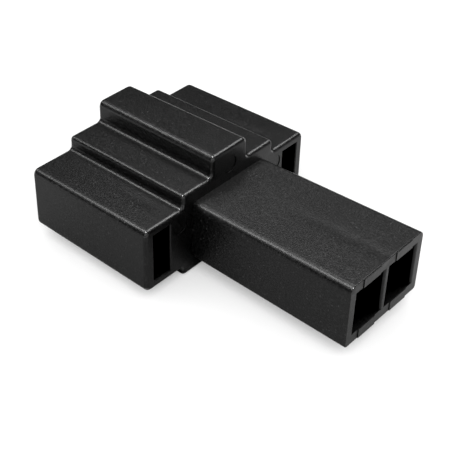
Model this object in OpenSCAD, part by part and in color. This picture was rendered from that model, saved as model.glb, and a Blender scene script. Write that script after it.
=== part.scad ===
/* [Body] */
// Length of the stepped body along the mating direction
body_len = 23; // [22:0.5:32]
// Width across both wings
wing_span = 34.6; // [32:0.2:40]
// Height of the wings
wing_h = 10.5; // [10.2:0.1:13]
// Width of the centre block between the wings
centre_w = 19.6; // [17:0.2:21]
// Rise of the centre block above the wings
centre_rise = 2.1; // [1.6:0.1:3]
// Drop of the centre block below the wings
centre_drop = 1.5; // [1.5:0.1:3]
// Width of the ridge along the top
ridge_w = 7.6; // [6:0.2:10]
// Height of the ridge above the centre block
ridge_h = 3.4; // [2.5:0.1:5]

/* [Edges] */
// Radius of the long outer edges
edge_r = 0.95; // [0.6:0.05:1.5]
// Radius of the centre block's own long edges
shoulder_r = 0.6; // [0.4:0.05:0.9]
// Radius of the fillets where one step meets the next
fillet_r = 0.7; // [0.3:0.05:0.9]
// Rounding of the body's front and rear outlines
end_r = 0.6; // [0.3:0.05:1.1]
// Draft of the body's walls towards the rear, in degrees
draft_deg = 0.8; // [0:0.1:1]

/* [Nose] */
// Length of the nose in front of the body
nose_len = 27.4; // [24:0.1:36]
// Height of the nose's underside above the wings' underside
nose_lift = 0.65; // [0.5:0.05:1.2]
// Thickness of the nose's floor
nose_floor = 1.65; // [1.2:0.05:2]
// Thickness of the nose's roof
nose_roof = 1.45; // [1.2:0.05:2.2]
// Thickness of the nose's side walls
nose_wall = 1.55; // [1:0.05:1.8]
// Radius of the nose's long upper edges
nose_top_r = 1.05; // [0.6:0.05:1.4]
// Radius of the nose's long lower edges
nose_low_r = 0.5; // [0.4:0.1:1.2]
// Rounding of the nose's front rim
rim_r = 0.15; // [0.1:0.05:0.4]
// Draft of the nose's walls towards the body, in degrees
nose_draft_deg = 0.9; // [0:0.1:1]

/* [Nose cavities] */
// Width of each nose cavity
cavity_w = 6.3; // [5.6:0.1:7]
// Height of each nose cavity
cavity_h = 7.2; // [6.8:0.1:7.6]
// Thickness of the wall between the nose cavities
divider_t = 1.1; // [1:0.05:2]
// Rounding of the side walls at each cavity's mouth
mouth_r = 0.4; // [0.2:0.05:0.45]
// Height of the guide rails on the cavity's floor and ceiling
rail_h = 1.1; // [0.6:0.1:1.4]
// Distance of the guide rails behind the mouth
rail_setback = 2.2; // [1:0.1:4]
// How far the core's shut-off pads stand proud of the front rim
pad_t = 0.12; // [0.05:0.01:0.3]
// Margin between a shut-off pad and the nose's outer face
pad_margin = 0.1; // [0.05:0.05:0.5]

/* [Wing slots] */
// Width of each wing slot
slot_w = 3.3; // [2.9:0.1:3.6]
// Height of each wing slot
slot_h = 7.9; // [7:0.1:8.2]
// Thickness of the wing's outer wall beside the slot
slot_wall = 1.6; // [1.2:0.05:2.2]
// Thickness of the wing's floor below the slot
slot_floor = 1.3; // [1:0.1:2]
// Edge break around each wing slot's mouth
slot_break = 0.15; // [0.05:0.05:0.3]

/* [Moulding] */
// Diameter of the ejector pin marks on the body's front face
ejector_d = 2.8; // [1.6:0.1:3.2]
// Depth of the ejector pin marks
ejector_depth = 0.1; // [0.02:0.02:0.2]
// Height of the wings' ejector pin marks above the wings' underside
ejector_rise = 8.1; // [4:0.1:8.4]
// Depth of the ridge's ejector pin mark below the ridge's top
ejector_drop = 2.8; // [2.2:0.1:4]
// Wall left around the cores that hollow the body from the rear
core_wall = 1.5; // [1:0.1:1.8]
// Flare of the wire entries at the rear face
entry_flare = 0.3; // [0.2:0.1:0.8]

/* [Terminals] */
// Thickness of the terminals' brass sheet
sheet_t = 0.4; // [0.3:0.05:0.5]
// Thickness of the mating blade that the terminal grips
blade_t = 0.8; // [0.6:0.1:1]
// Length of the receptacle that grips the blade
receptacle_len = 7.8; // [7:0.1:8.4]
// Gap between the receptacle's two lips
lip_gap = 2; // [1:0.1:3]
// Width of the flat necks between the terminal's stretches
neck_w = 2.2; // [1.6:0.1:2.8]
// Length of the neck behind the receptacle
neck_len = 1.9; // [1:0.1:2.4]
// Length of the barrel that grips the wire's strands
strand_barrel_len = 3.6; // [3:0.1:4]
// Diameter inside the strand barrel
strand_d = 1.7; // [1.2:0.1:2.2]
// Gap between the two barrels
barrel_gap = 0.8; // [0.5:0.1:1.2]
// Length of the barrel that grips the wire's jacket
jacket_barrel_len = 3.2; // [2.5:0.1:3.6]
// Diameter inside the jacket barrel
jacket_d = 2.4; // [1.8:0.1:2.5]
// Width of the seam along each barrel
seam_w = 0.25; // [0.1:0.05:0.4]
// Distance of the lance's root behind the receptacle's front
lance_setback = 2.7; // [2:0.1:3]
// Length of the lance
lance_len = 3.3; // [2.5:0.1:4]
// Height of the lance's tip above the sheet
lance_h = 0.7; // [0.4:0.05:0.8]
// Width of the lance
lance_w = 1.8; // [1.2:0.1:2.4]

/* [Fits] */
// How far a mouth's edge overlaps the terminal that it stops
stop_lip = 0.15; // [0.1:0.01:0.2]
// Clearance around a terminal in its channel
fit_gap = 0.1; // [0.05:0.01:0.15]
// Clearance around a lance in its pocket
lance_gap = 0.2; // [0.1:0.05:0.3]
// Distance of the nose terminals behind the nose's front rim
nose_recess = 6; // [5:0.1:8]
// Distance of the wing terminals behind the wings' front faces
wing_recess = 4.6; // [3:0.1:5]

/* [Hidden] */

// Facets in a quarter of an outline's rounding, and rings in an end's rounding
arc_steps = 8;
end_steps = 6;
rim_steps = 3;
// Smallest radius that an outer edge keeps on an end face, and smallest fillet and flat on a step
least_r = 0.15;
least_fillet = 0.1;
least_flat = 0.05;
// Overrun of a cut past the face that it opens
over = 1;
$fn = 48;

// Stations along the mating direction
total_len = body_len + nose_len + pad_t;
x_rear = -total_len / 2;
x_face = x_rear + body_len;
x_tip = x_face + nose_len;

// Heights
wing_low = centre_drop;
wing_top = wing_low + wing_h;
centre_top = wing_top + centre_rise;
ridge_top = centre_top + ridge_h;
nose_low = wing_low + nose_lift;
cavity_low = nose_low + nose_floor;
cavity_mid = cavity_low + cavity_h / 2;
cavity_top = cavity_low + cavity_h;
nose_top = cavity_top + nose_roof;
slot_mid = wing_low + slot_floor + slot_h / 2;

// Places across
nose_w = 2 * cavity_w + divider_t + 2 * nose_wall;
cavity_y = (divider_t + cavity_w) / 2;
slot_y = wing_span / 2 - slot_wall - slot_w / 2;
ejector_y = (nose_w / 2 + slot_y - slot_w / 2) / 2;

// A terminal is a little larger than the mouths that stop it
terminal_t = slot_w + 2 * stop_lip;
terminal_w = cavity_h + 2 * stop_lip;
channel_w = terminal_t + 2 * fit_gap;
channel_h = terminal_w + 2 * fit_gap;
lance_end = lance_setback + lance_len;
neck_x = -receptacle_len;
strand_x = neck_x - neck_len;
jacket_x = strand_x - strand_barrel_len - barrel_gap;
cavity_depth = nose_recess + lance_end + lance_gap;

// Cores between the nose channels and the wing channels, and inside the ridge
core_len = body_len - 2 * core_wall;
side_core_in = cavity_y + channel_w / 2 + core_wall;
side_core_out = slot_y - channel_w / 2 - lance_h - lance_gap - core_wall;
ridge_core_low = cavity_mid + channel_h / 2 + core_wall;

// Fillet at a step's foot, limited by the height that the rounding of its top and of the ends leaves
function step_fillet(step, top_r) =
    max(least_fillet, min(fillet_r, step - max(top_r, end_r + least_r) - least_flat));

// Body's section, as corners [y, z, radius] from the bottom up:
// the underside starts lower by as much as the draft lifts it, and so stays level
function body_section(lift) = both_halves([
    [centre_w / 2, -lift, shoulder_r],
    [centre_w / 2, wing_low, step_fillet(centre_drop, shoulder_r)],
    [wing_span / 2, wing_low, edge_r],
    [wing_span / 2, wing_top, edge_r],
    [centre_w / 2, wing_top, step_fillet(centre_rise, shoulder_r)],
    [centre_w / 2, centre_top, shoulder_r],
    [ridge_w / 2, centre_top, step_fillet(ridge_h, edge_r)],
    [ridge_w / 2, ridge_top, edge_r]
]);
nose_section = both_halves([[nose_w / 2, nose_low, nose_low_r], [nose_w / 2, nose_top, nose_top_r]]);

// A half section followed by its mirror image, as one closed outline
function both_halves(half) =
    concat(half, [for (i = [len(half) - 1:-1:0]) [-half[i][0], half[i][1], half[i][2]]]);

// Direction to the right of d, which is outwards on an outline that runs anticlockwise
function right_of(d) = [d[1], -d[0]];
function heading(from, to) = let (d = [to[0] - from[0], to[1] - from[1]]) d / norm(d);

// Arc that rounds one corner after the outline has moved inwards by its draft and by an end's rounding:
// the rounding takes radius from an outer edge and adds it to an inner fillet, as under a rolling ball
function corner_arc(before, corner, after, draft, round) =
    let (
        d_in = heading(before, corner),
        d_out = heading(corner, after),
        n_in = right_of(d_in),
        n_out = right_of(d_out),
        side = sign(d_in[0] * d_out[1] - d_in[1] * d_out[0]),
        r = side > 0 ? max(corner[2] - round, least_r) : corner[2] + round,
        centre = [corner[0], corner[1]] - (draft + round + side * r) * (n_in + n_out)
    )
    [
        for (k = [0:arc_steps])
            let (a = 90 * k / arc_steps) centre + side * r * (cos(a) * n_in + sin(a) * n_out)
    ];

// Closed outline of a section moved inwards
function outline(section, draft, round) =
    let (n = len(section))
    [
        for (i = [0:n - 1])
            each corner_arc(section[(i + n - 1) % n], section[i], section[(i + 1) % n], draft, round)
    ];

// Inset that the draft gives at station x, on the body and on the nose
function draft_inset(x) = tan(draft_deg) * (x_face - x);
function nose_inset(x) = tan(nose_draft_deg) * (x_tip - x);

// Rings [x, inset] of a quarter round that opens from a rear face or closes to a front face
function rear_rings(x, r, steps) =
    [for (k = [0:steps]) let (a = 90 * k / steps) [x + r * (1 - cos(a)), r * (1 - sin(a))]];
function front_rings(x, r, steps) =
    [for (k = [0:steps]) let (a = 90 * k / steps) [x - r * (1 - sin(a)), r * (1 - cos(a))]];

// Solid whose skin runs through a list of outlines [x, points], from rear to front:
// the skin overruns both ends, and is cut square there so that each end is one flat face
module skinned(outlines) {
    first = outlines[0];
    final = outlines[len(outlines) - 1];
    rings = concat([[first[0] - over, first[1]]], outlines, [[final[0] + over, final[1]]]);
    n = len(first[1]);
    last = (len(rings) - 1) * n;
    points = [for (ring = rings) for (p = ring[1]) [ring[0], p[0], p[1]]];
    bands = [
        for (k = [0:len(rings) - 2]) for (i = [0:n - 1])
            let (j = (i + 1) % n, a = k * n, b = a + n) [a + i, b + i, b + j, a + j]
    ];
    rear_cap = [for (i = [0:n - 1]) i];
    front_cap = [for (i = [n - 1:-1:0]) last + i];
    intersection() {
        polyhedron(points, concat(bands, [rear_cap, front_cap]), convexity = 10);
        run_box(first[0], final[0], 0, ridge_top / 2, wing_span + over, ridge_top + over);
    }
}

// Box from x0 to x1, centred on y and z
module run_box(x0, x1, y, z, width, height) {
    translate([x0, y - width / 2, z - height / 2]) cube([x1 - x0, width, height]);
}

// Both sides of the plug
module each_side() {
    for (side = [0, 1]) mirror([0, side, 0]) children();
}

module body_shell() {
    rings = concat(rear_rings(x_rear, end_r, end_steps), front_rings(x_face, end_r, end_steps));
    skinned([
        for (ring = rings)
            let (draft = draft_inset(ring[0])) [ring[0], outline(body_section(draft), draft, ring[1])]
    ]);
}

module nose_shell() {
    rings = concat([[x_face - body_len / 2, 0]], front_rings(x_tip, rim_r, rim_steps));
    skinned([for (ring = rings) [ring[0], outline(nose_section, nose_inset(ring[0]), ring[1])]]);
}

// Pads above and below a cavity's mouth, where the core that forms its channel shut off
module shut_off_pads() {
    pad_low = nose_low + pad_margin;
    translate([x_tip - rim_r, cavity_y - channel_w / 2, pad_low])
        cube([rim_r + pad_t, channel_w, nose_top - pad_margin - pad_low]);
}

// Mouth of a nose cavity, with its side walls rounded outwards
module cavity_mouth() {
    wide = cavity_w / 2 + mouth_r;
    run_box(x_tip - rail_setback, x_tip + over, cavity_y, cavity_mid, cavity_w, cavity_h);
    translate([x_tip - mouth_r, cavity_y, cavity_low])
        linear_extrude(cavity_h)
            difference() {
                translate([0, -wide]) square([mouth_r + over, 2 * wide]);
                for (side = [-1, 1]) translate([0, side * wide]) circle(mouth_r);
            }
}

// Channel that runs from the rear face to a terminal's stop at x1, flared where the wire enters
module terminal_channel(x1, y, z) {
    wide = channel_w / 2 + entry_flare;
    run_box(x_rear - over, x1, y, z, channel_w, channel_h);
    translate([x_rear, y, z - channel_h / 2])
        linear_extrude(channel_h)
            polygon([[-over, -wide], [0, -wide], [entry_flare, -channel_w / 2],
                     [entry_flare, channel_w / 2], [0, wide], [-over, wide]]);
}

// Nose cavity: mouth, guide rails left standing on floor and ceiling, and the terminal's channel
module nose_cavity() {
    stop = x_tip - nose_recess;
    cavity_mouth();
    run_box(x_tip - cavity_depth, x_tip, cavity_y, cavity_mid, cavity_w, cavity_h - 2 * rail_h);
    run_box(stop, x_tip, cavity_y, cavity_mid, channel_w, cavity_h);
    terminal_channel(stop, cavity_y, cavity_mid);
}

// Wing slot with its edges broken, the channel behind it and the pocket that the lance springs into
module wing_cavity() {
    stop = x_face - wing_recess;
    pocket_w = channel_w / 2 + lance_h + lance_gap;
    run_box(stop, x_face + over, slot_y, slot_mid, slot_w, slot_h);
    hull() {
        run_box(x_face - slot_break, x_face + over, slot_y, slot_mid, slot_w, slot_h);
        run_box(x_face, x_face + over, slot_y, slot_mid, slot_w + 2 * slot_break, slot_h + 2 * slot_break);
    }
    terminal_channel(stop, slot_y, slot_mid);
    run_box(stop - lance_end - lance_gap, stop - lance_setback + lance_gap, slot_y - pocket_w / 2, slot_mid,
            pocket_w, lance_w + 2 * lance_gap);
}

// Hollows that keep the moulding's walls even, open to the rear
module rear_cores() {
    run_box(x_rear - over, x_rear + core_len, (side_core_in + side_core_out) / 2, slot_mid,
            side_core_out - side_core_in, wing_h - 2 * core_wall - 2 * draft_inset(x_rear));
    ridge_core_h = ridge_top - draft_inset(x_rear) - core_wall - ridge_core_low;
    run_box(x_rear - over, x_rear + core_len, 0, ridge_core_low + ridge_core_h / 2,
            ridge_w - 2 * core_wall, ridge_core_h);
}

module ejector_mark(y, z) {
    translate([x_face - ejector_depth, y, z])
        rotate([0, 90, 0]) cylinder(d = ejector_d, h = ejector_depth + over);
}

module housing() {
    color([0.09, 0.09, 0.1])
        difference() {
            union() {
                body_shell();
                nose_shell();
                each_side() shut_off_pads();
            }
            each_side() {
                nose_cavity();
                wing_cavity();
                rear_cores();
                ejector_mark(ejector_y, wing_low + ejector_rise);
            }
            ejector_mark(0, ridge_top - ejector_drop);
        }
}

// Sheet folded into a box with rounded bends, as a section across the terminal
module folded_box(t, w, r) {
    translate([r, -w / 2]) square([t - 2 * r, w]);
    translate([0, r - w / 2]) square([t, w - 2 * r]);
    for (a = [r, t - r], b = [r - w / 2, w / 2 - r]) translate([a, b]) circle(r);
}

// Receptacle: floor, two sides and two lips that turn in and press on the blade
module receptacle_section() {
    bend_r = 2 * sheet_t;
    lip_h = terminal_t - sheet_t - blade_t;
    difference() {
        folded_box(terminal_t, terminal_w, bend_r);
        translate([sheet_t, 0])
            folded_box(terminal_t - 2 * sheet_t, terminal_w - 2 * sheet_t, bend_r - sheet_t);
        translate([terminal_t / 2, -lip_gap / 2]) square([terminal_t, lip_gap]);
    }
    for (side = [0, 1]) mirror([0, side])
        translate([terminal_t - lip_h, lip_gap / 2]) square([lip_h, sheet_t]);
}

// Rolled barrel with an open seam, lying on the sheet's plane
module barrel_section(bore) {
    r = bore / 2 + sheet_t;
    translate([r, 0]) difference() {
        circle(r);
        circle(bore / 2);
        translate([0, -seam_w / 2]) square([2 * r, seam_w]);
    }
}

// Section across the terminal carried from x0 back to x1
module along(x0, x1) {
    translate([x1, 0, 0]) rotate([90, 0, 90]) linear_extrude(x0 - x1) children();
}

// Lance punched out of the receptacle's floor, seen from the side
module lance() {
    translate([0, 0, -lance_w / 2]) linear_extrude(lance_w)
        polygon([[-lance_setback, sheet_t], [-lance_setback, 0],
                 [-lance_end, -lance_h], [-lance_end, sheet_t - lance_h]]);
}

// Stamped terminal: front at x = 0, floor on y = 0, lance towards -y
module terminal() {
    difference() {
        along(0, neck_x) receptacle_section();
        translate([-lance_end, -over, -lance_w / 2 - lance_gap])
            cube([lance_end - lance_setback - sheet_t, over + sheet_t, lance_w + 2 * lance_gap]);
    }
    lance();
    along(neck_x + sheet_t, jacket_x - sheet_t) translate([0, -neck_w / 2]) square([sheet_t, neck_w]);
    along(strand_x, strand_x - strand_barrel_len) barrel_section(strand_d);
    along(jacket_x, jacket_x - jacket_barrel_len) barrel_section(jacket_d);
}

// Terminal pushed forward to its stop and lying on its channel's floor
module seated_terminal(stop, y, z) {
    color([0.76, 0.74, 0.68]) translate([stop, y - terminal_t / 2, z - fit_gap]) terminal();
}

module nose_terminal_left() { seated_terminal(x_tip - nose_recess, cavity_y, cavity_mid); }

module nose_terminal_right() { mirror([0, 1, 0]) nose_terminal_left(); }

module wing_terminal_left() { seated_terminal(x_face - wing_recess, slot_y, slot_mid); }

module wing_terminal_right() { mirror([0, 1, 0]) wing_terminal_left(); }

housing();
nose_terminal_left();
nose_terminal_right();
wing_terminal_left();
wing_terminal_right();
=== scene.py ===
import math

import bpy
import numpy as np
from mathutils import Matrix, Vector


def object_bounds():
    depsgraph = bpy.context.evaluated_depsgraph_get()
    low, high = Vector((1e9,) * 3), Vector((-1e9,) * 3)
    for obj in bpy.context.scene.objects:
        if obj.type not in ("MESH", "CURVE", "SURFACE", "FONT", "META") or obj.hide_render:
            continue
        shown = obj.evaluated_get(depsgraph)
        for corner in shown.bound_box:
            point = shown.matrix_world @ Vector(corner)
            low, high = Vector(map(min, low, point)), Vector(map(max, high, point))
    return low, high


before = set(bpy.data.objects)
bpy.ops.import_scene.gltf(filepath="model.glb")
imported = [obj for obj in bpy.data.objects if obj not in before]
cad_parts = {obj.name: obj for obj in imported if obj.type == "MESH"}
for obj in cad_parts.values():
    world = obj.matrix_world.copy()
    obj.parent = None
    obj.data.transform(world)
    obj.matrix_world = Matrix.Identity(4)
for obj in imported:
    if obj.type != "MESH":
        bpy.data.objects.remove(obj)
cad_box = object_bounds()


# Housing
# The plug's body: one injection moulding in black polyester, which carries the terminals. Its mould was
# cut by spark erosion, which left a satin grain with pale specks, and the cavities' cores were smoother.
# Inside the cavities the colour is also painted darker, as painted shade. The surface sank a little over the
# thick walls as it cooled, and handling has rubbed the corners shiny.

MM = 0.001
MICRON = 0.001 * MM


class Signal:
    """A socket in a node tree: arithmetic on signals and numbers adds Math nodes to that tree."""

    def __init__(self, tree, socket):
        self.tree = tree
        self.socket = socket

    @classmethod
    def node(cls, tree, kind, settings, sockets, outlet=0):
        """Add one node: its settings are set first, then the values or links of its sockets."""
        made = tree.nodes.new(kind)
        for name, value in settings.items():
            setattr(made, name, value)
        for name, value in sockets.items():
            if isinstance(value, Signal):
                tree.links.new(value.socket, made.inputs[name])
            else:
                made.inputs[name].default_value = value
        return cls(tree, made.outputs[outlet]) if made.outputs else None

    def math(self, operation, *others, clamp=False):
        """Add a Math node on this signal and up to two more values."""
        settings = {"operation": operation, "use_clamp": clamp}
        return Signal.node(self.tree, "ShaderNodeMath", settings, dict(enumerate((self, *others))))

    def __add__(self, other):
        return self.math("ADD", other)

    def __sub__(self, other):
        return self.math("SUBTRACT", other)

    def __rsub__(self, other):
        return (self * -1.0) + other

    def __mul__(self, other):
        return self.math("MULTIPLY", other)

    def __truediv__(self, other):
        return self.math("DIVIDE", other)

    __radd__ = __add__
    __rmul__ = __mul__

    def clamped(self):
        """This value held between 0 and 1."""
        return self.math("ADD", 0.0, clamp=True)

    def bell(self, middle, spread):
        """A bell curve, exp(-((value - middle) / spread) squared)."""
        away = (self - middle) / spread
        return (away * away * -1.0).math("EXPONENT")

    def step(self, start, end):
        """A smooth step from 0 at start to 1 at end: 3 s squared - 2 s cubed, with s from 0 to 1."""
        share = ((self - start) / (end - start)).clamped()
        return share * share * (3.0 - 2.0 * share)

    def within(self, low, high):
        """1 from low to high, falling to 0 over 0.05 mm past either end."""
        edge = 0.05 * MM
        return self.step(low - edge, low) * (1.0 - self.step(high, high + edge))


def new_material(name):
    """A material with its node tree and its Principled shader."""
    material = bpy.data.materials.new(name)
    material.use_nodes = True
    return material, material.node_tree, material.node_tree.nodes["Principled BSDF"]


def object_place(tree):
    """The point on the piece in its own frame, in metres."""
    return Signal.node(tree, "ShaderNodeTexCoord", {}, {}, "Object")


def facing(tree):
    """The direction that the surface faces, in the piece's own frame."""
    return Signal.node(tree, "ShaderNodeTexCoord", {}, {}, "Normal")


def along(vector, axis):
    """One coordinate of a point or direction."""
    return Signal.node(vector.tree, "ShaderNodeSeparateXYZ", {}, {"Vector": vector}, axis)


def noise(place, grain, detail, rough):
    """Smooth noise from 0 to 1 whose lumps are about one grain across, in metres."""
    sockets = {"Vector": place, "Scale": 1.0 / grain, "Detail": detail, "Roughness": rough}
    return Signal.node(place.tree, "ShaderNodeTexNoise", {"noise_dimensions": "3D"}, sockets, "Fac")


def blend(share, first, second):
    """A colour from the first to the second as the share goes from 0 to 1, by Mix's colour sockets."""
    sockets = {0: share, 6: first, 7: second}
    return Signal.node(share.tree, "ShaderNodeMix", {"data_type": "RGBA"}, sockets, 2)


def grey(level):
    """A neutral colour."""
    return (level, level, level, 1.0)


def relief(height):
    """The surface's normal, bent by a height in metres."""
    sockets = {"Strength": 1.0, "Distance": 1.0, "Height": height}
    return Signal.node(height.tree, "ShaderNodeBump", {}, sockets)


def wire(shader, signal, name):
    """Link a signal to a socket of a shader."""
    signal.tree.links.new(signal.socket, shader.inputs[name])


def smooth_rounds(piece, limit):
    """Shade a solid's faceted rounds smooth: weld it, keep folds over the limit sharp and flats flat."""
    tree = bpy.data.node_groups.new("smooth_rounds", "GeometryNodeTree")
    for way in ("INPUT", "OUTPUT"):
        tree.interface.new_socket("Geometry", in_out=way, socket_type="NodeSocketGeometry")
    given = Signal.node(tree, "NodeGroupInput", {}, {})
    weld = {"Geometry": given, "Distance": 1 * MICRON}
    welded = Signal.node(tree, "GeometryNodeMergeByDistance", {}, weld)
    strip = {"Geometry": welded, "Name": "custom_normal"}
    plain = Signal.node(tree, "GeometryNodeRemoveAttribute", {}, strip)
    soft = Signal.node(tree, "GeometryNodeSetShadeSmooth", {"domain": "FACE"}, {"Geometry": plain})
    fold = Signal.node(tree, "GeometryNodeInputMeshEdgeAngle", {}, {}, "Unsigned Angle")
    sharp = {"Geometry": soft, "Selection": fold.math("GREATER_THAN", limit), "Shade Smooth": False}
    crisp = Signal.node(tree, "GeometryNodeSetShadeSmooth", {"domain": "EDGE"}, sharp)
    Signal.node(tree, "NodeGroupOutput", {}, {"Geometry": crisp})
    piece.modifiers.new("smooth_rounds", "NODES").node_group = tree
    flats = piece.modifiers.new("flat_flats", "WEIGHTED_NORMAL")
    flats.keep_sharp = True


def moulded_black():
    """Black moulded polyester: grain from spark erosion, smoother cavities with painted shade, slow waves,
    sunk lines, rubbed corners.
    """
    material, tree, shader = new_material("moulded_black")
    place = object_place(tree)
    x, y, z = (along(place, axis) for axis in "XYZ")
    aside = y.math("ABSOLUTE")
    on_top = z.step(11 * MM, 11.8 * MM)

    fine = noise(place, grain=0.25 * MM, detail=2.0, rough=0.6)
    coarse = noise(place, grain=0.9 * MM, detail=1.0, rough=0.5)
    waves = noise(place, grain=9 * MM, detail=1.0, rough=0.4)
    cells = {"Vector": place, "Scale": 1.0 / (0.5 * MM), "Randomness": 1.0}
    gap = Signal.node(tree, "ShaderNodeTexVoronoi", {"feature": "F1"}, cells, "Distance")
    lot = along(Signal.node(tree, "ShaderNodeTexVoronoi", {"feature": "F1"}, cells, "Color"), "X")
    speck = (1.0 - gap.step(0.14, 0.34)) * lot.step(0.70, 0.95)

    nose_divider = y.bell(0.15 * MM, 1.1 * MM) * x.step(3 * MM, 16 * MM)
    wing_walls = aside.bell(12.2 * MM, 0.9 * MM) * x.bell(-8.2 * MM, 3.4 * MM)
    sunk = (nose_divider + wing_walls) * on_top

    rear = cad_box[0].x + 0.36 * MM
    nose_front = cad_box[1].x - 0.21 * MM
    wing_front = -2.45 * MM
    # Inside the cavities the grain is weaker and the roughness lower, and the pale tone is cut there, which
    # is painted shade.
    nose_hole = aside.within(0.5 * MM, 6.9 * MM) * z.within(3.75 * MM, 11.05 * MM)
    wing_hole = aside.within(12.1 * MM, 16.0 * MM) * z.within(2.75 * MM, 10.75 * MM)
    cavity_smooth_and_shade = nose_hole * x.within(rear, nose_front) + wing_hole * x.within(rear, wing_front)
    grain_share_and_cavity_shade = 1.0 - cavity_smooth_and_shade * 0.72
    grain = (fine * (25 * MICRON) + coarse * (5 * MICRON) + speck * (6 * MICRON)) * grain_share_and_cavity_shade
    height = grain + waves * (45 * MICRON) - sunk * (48 * MICRON)

    nose_root = x.step(-2.0 * MM, 0.0) * (1.0 - x.step(0.0, 26 * MM)) * on_top
    faced = facing(tree)
    corner = (along(faced, "X") * along(faced, "Y") * along(faced, "Z")).math("ABSOLUTE")
    # The pale tone is cut inside the cavities: painted shade there.
    pale = (fine.step(0.42, 0.74) * 0.34 + speck * 0.7 + nose_root * 0.09).clamped() * grain_share_and_cavity_shade
    dull = 0.28 + fine * 0.12 + waves * 0.06 + nose_root * 0.03 - speck * 0.05 - cavity_smooth_and_shade * 0.07
    wire(shader, blend(pale, grey(0.0006), grey(0.018)), "Base Color")
    wire(shader, dull, "Roughness")
    wire(shader, corner.step(0.02, 0.09), "Coat Weight")
    wire(shader, relief(height), "Normal")
    shader.inputs["Coat Roughness"].default_value = 0.15
    shader.inputs["IOR"].default_value = 1.5
    shader.inputs["Specular IOR Level"].default_value = 0.30
    return material


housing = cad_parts["housing"]
smooth_rounds(housing, math.radians(24.0))
housing_black = moulded_black()
for slot in housing.material_slots:
    slot.material = housing_black


# Terminals
# Four female blade terminals, stamped from brass strip that was tin plated first, then folded: a sprung
# receptacle in front and two open crimp barrels behind. Each is pushed in from the rear of the housing.

def plated_brass():
    """Tin plated brass strip: streaks along the rolling direction, dull patches, bare brass on cut ends."""
    material, tree, shader = new_material("plated_brass")
    place = object_place(tree)
    stretch = {"Vector": place, "Scale": (0.06, 1.0, 1.0)}
    stretched = Signal.node(tree, "ShaderNodeMapping", {}, stretch)
    streaks = noise(stretched, grain=0.12 * MM, detail=3.0, rough=0.6)
    patches = noise(place, grain=1.6 * MM, detail=3.0, rough=0.55)
    endways = along(facing(tree), "X")
    cut_end = (endways * endways).step(0.80, 0.95)
    dull = (patches.step(0.45, 0.75) * 0.7 + streaks * 0.3).clamped()
    bright_tin = (0.66, 0.65, 0.62, 1.0)
    dull_tin = (0.42, 0.40, 0.36, 1.0)
    bare_brass = (0.63, 0.43, 0.17, 1.0)
    wire(shader, blend(cut_end, blend(dull, bright_tin, dull_tin), bare_brass), "Base Color")
    wire(shader, 0.24 + streaks * 0.16 + patches * 0.12, "Roughness")
    wire(shader, relief(streaks * (2 * MICRON)), "Normal")
    shader.inputs["Metallic"].default_value = 1.0
    return material


terminal_plated = plated_brass()
for name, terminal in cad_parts.items():
    if name.endswith(("terminal_left", "terminal_right")):
        for slot in terminal.material_slots:
            slot.material = terminal_plated


# Floor
# A white table top under the plug, so bright that only the contact shadows show on it. The plastic mirrors
# a greyer copy of it, whose grey is painted shade, and whose colour is painted paler where more light falls.

def ring_surface(name, inner, outer, level):
    """A flat ring: the point at radius r and angle t is (r cos t, r sin t, level), on a grid of r and t."""
    turns = 96
    angle = np.linspace(0.0, 2.0 * np.pi, turns, endpoint=False)
    radius = np.array([inner, outer])
    grid_r, grid_t = np.meshgrid(radius, angle, indexing="ij")
    height = np.full_like(grid_r, level)
    points = np.stack([grid_r * np.cos(grid_t), grid_r * np.sin(grid_t), height], axis=-1)
    start = np.arange(turns)
    ahead = (start + 1) % turns
    faces = np.stack([start, start + turns, ahead + turns, ahead], axis=-1)
    mesh = bpy.data.meshes.new(name)
    mesh.from_pydata(points.reshape(-1, 3).tolist(), [], faces.tolist())
    made = bpy.data.objects.new(name, mesh)
    bpy.context.scene.collection.objects.link(made)
    return made


def matt_laminate(name):
    """A table top's material, without gloss."""
    material, tree, shader = new_material(name)
    shader.inputs["Roughness"].default_value = 0.9
    shader.inputs["Specular IOR Level"].default_value = 0.0
    return material, object_place(tree), shader


def table_white():
    """White laminate with a faint unevenness and a little glow."""
    material, place, shader = matt_laminate("table_white")
    cloudy = noise(place, grain=60 * MM, detail=2.0, rough=0.5)
    wire(shader, blend(cloudy, grey(0.56), grey(0.59)), "Base Color")
    shader.inputs["Emission Color"].default_value = grey(1.0)
    shader.inputs["Emission Strength"].default_value = 0.22
    return material


def table_grey():
    """The table as the plastic mirrors it, with painted shade and light: grey on the plug's right, paler on
    its left and behind it.
    """
    material, place, shader = matt_laminate("table_grey")
    # Painted light and shade: the copy's colour is paler where more light falls and darker where less does.
    across = along(place, "X") * 0.5 + along(place, "Y") * 0.85
    sideways = blend(across.step(-20 * MM, 32 * MM), grey(0.165), grey(0.275))
    forward = along(place, "X").step(-60 * MM, -44 * MM)
    wire(shader, blend(forward, grey(0.46), sideways), "Base Color")
    return material


floor_level = cad_box[0].z
table_reach = 4.0
table_hole = 0.1 * MM
under_copy = 0.02 * MM
table = ring_surface("table", table_hole, table_reach, floor_level - under_copy)
table.data.materials.append(table_white())
table.visible_glossy = False
mirrored = ring_surface("table_mirrored", table_hole, table_reach, floor_level)
mirrored.data.materials.append(table_grey())
mirrored.visible_camera = False
mirrored.visible_diffuse = False
mirrored.visible_shadow = False


# Lights
# Soft boxes round the set, named as the camera sees them. Left front and right back draw the bright lines
# on the edges, one behind lights the tops, a small one above makes the corner glints and a dim one fills in.
# The table has a wide one of its own, and an even white room lights everything.

middle = (cad_box[0] + cad_box[1]) / 2
on_plug = bpy.data.collections.new("lit_plug")
for piece in (*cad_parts.values(), mirrored):
    on_plug.objects.link(piece)
on_table = bpy.data.collections.new("lit_table")
on_table.objects.link(table)


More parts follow.
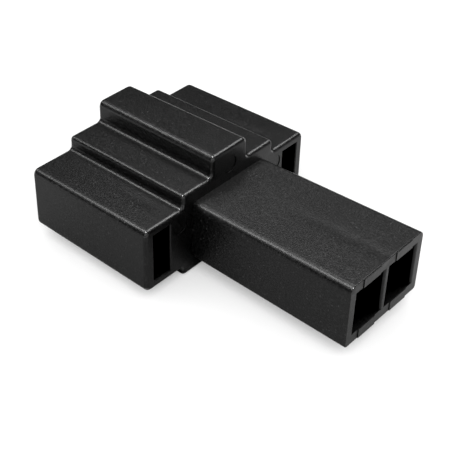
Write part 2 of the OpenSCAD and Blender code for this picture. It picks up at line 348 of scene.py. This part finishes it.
def soft_box(name, lit, way, distance, wide, high, radiance):
    """A lamp that faces the plug and lights one collection: its power is radiance times pi times area."""
    lamp = bpy.data.lights.new(name, "AREA")
    lamp.shape = "RECTANGLE"
    lamp.size = wide
    lamp.size_y = high
    lamp.energy = radiance * math.pi * wide * high
    box = bpy.data.objects.new(name, lamp)
    out = Vector(way).normalized()
    box.location = middle + out * distance
    box.rotation_mode = "QUATERNION"
    box.rotation_quaternion = (-out).to_track_quat("-Z", "Y")
    box.light_linking.receiver_collection = lit
    bpy.context.scene.collection.objects.link(box)


soft_box("left_front", on_plug, way=(-0.480, -0.270, 0.835),
         distance=0.50, wide=0.14, high=0.20, radiance=23.5)
soft_box("right_back", on_plug, way=(0.150, 0.535, 0.832),
         distance=0.50, wide=0.24, high=0.18, radiance=21.5)
soft_box("over_back", on_plug, way=(-0.370, 0.370, 0.852),
         distance=0.50, wide=0.18, high=0.18, radiance=5.5)
soft_box("over_front", on_plug, way=(0.060, -0.280, 0.958),
         distance=0.50, wide=0.10, high=0.10, radiance=66.0)
soft_box("front_fill", on_plug, way=(0.620, -0.620, 0.480),
         distance=0.60, wide=0.90, high=0.42, radiance=1.0)
soft_box("table_front", on_table, way=(0.500, -0.600, 0.620),
         distance=0.60, wide=0.80, high=0.60, radiance=2.6)

world = bpy.data.worlds.new("studio")
world.use_nodes = True
room = world.node_tree.nodes["Background"]
room.inputs["Color"].default_value = grey(1.0)
room.inputs["Strength"].default_value = 1.4
bpy.context.scene.world = world
world.cycles_visibility.glossy = False

look = bpy.context.scene.view_settings
look.view_transform = "Standard"
look.use_curve_mapping = True
look.curve_mapping.black_level = (0.002, 0.002, 0.002)
look.curve_mapping.update()


# Camera
# It stands where the picture was taken from: in front of the plug, to its right and well above, about 17 cm
# away. The aim is the point in the middle of the picture, and the roll is the small tilt of the horizon.

aim = Vector((-3.316, 0.559, 2.948)) * MM
azimuth = math.radians(39.738)
elevation = math.radians(37.352)
roll = math.radians(1.648)
distance = 166.94 * MM
level_back = Vector((math.sin(azimuth), -math.cos(azimuth), 0.0))
back = level_back * math.cos(elevation) + Vector((0.0, 0.0, math.sin(elevation)))
level_right = Vector((math.cos(azimuth), math.sin(azimuth), 0.0))
level_up = back.cross(level_right)
right = level_right * math.cos(roll) + level_up * math.sin(roll)
up = level_up * math.cos(roll) - level_right * math.sin(roll)
lens = bpy.data.cameras.new("camera")
lens.sensor_width = 36.0
lens.lens = 89.905
lens.clip_start = 10 * MM
camera = bpy.data.objects.new("camera", lens)
turn = Matrix((right, up, back)).transposed().to_4x4()
camera.matrix_world = Matrix.Translation(aim + back * distance) @ turn
bpy.context.scene.collection.objects.link(camera)
bpy.context.scene.camera = camera
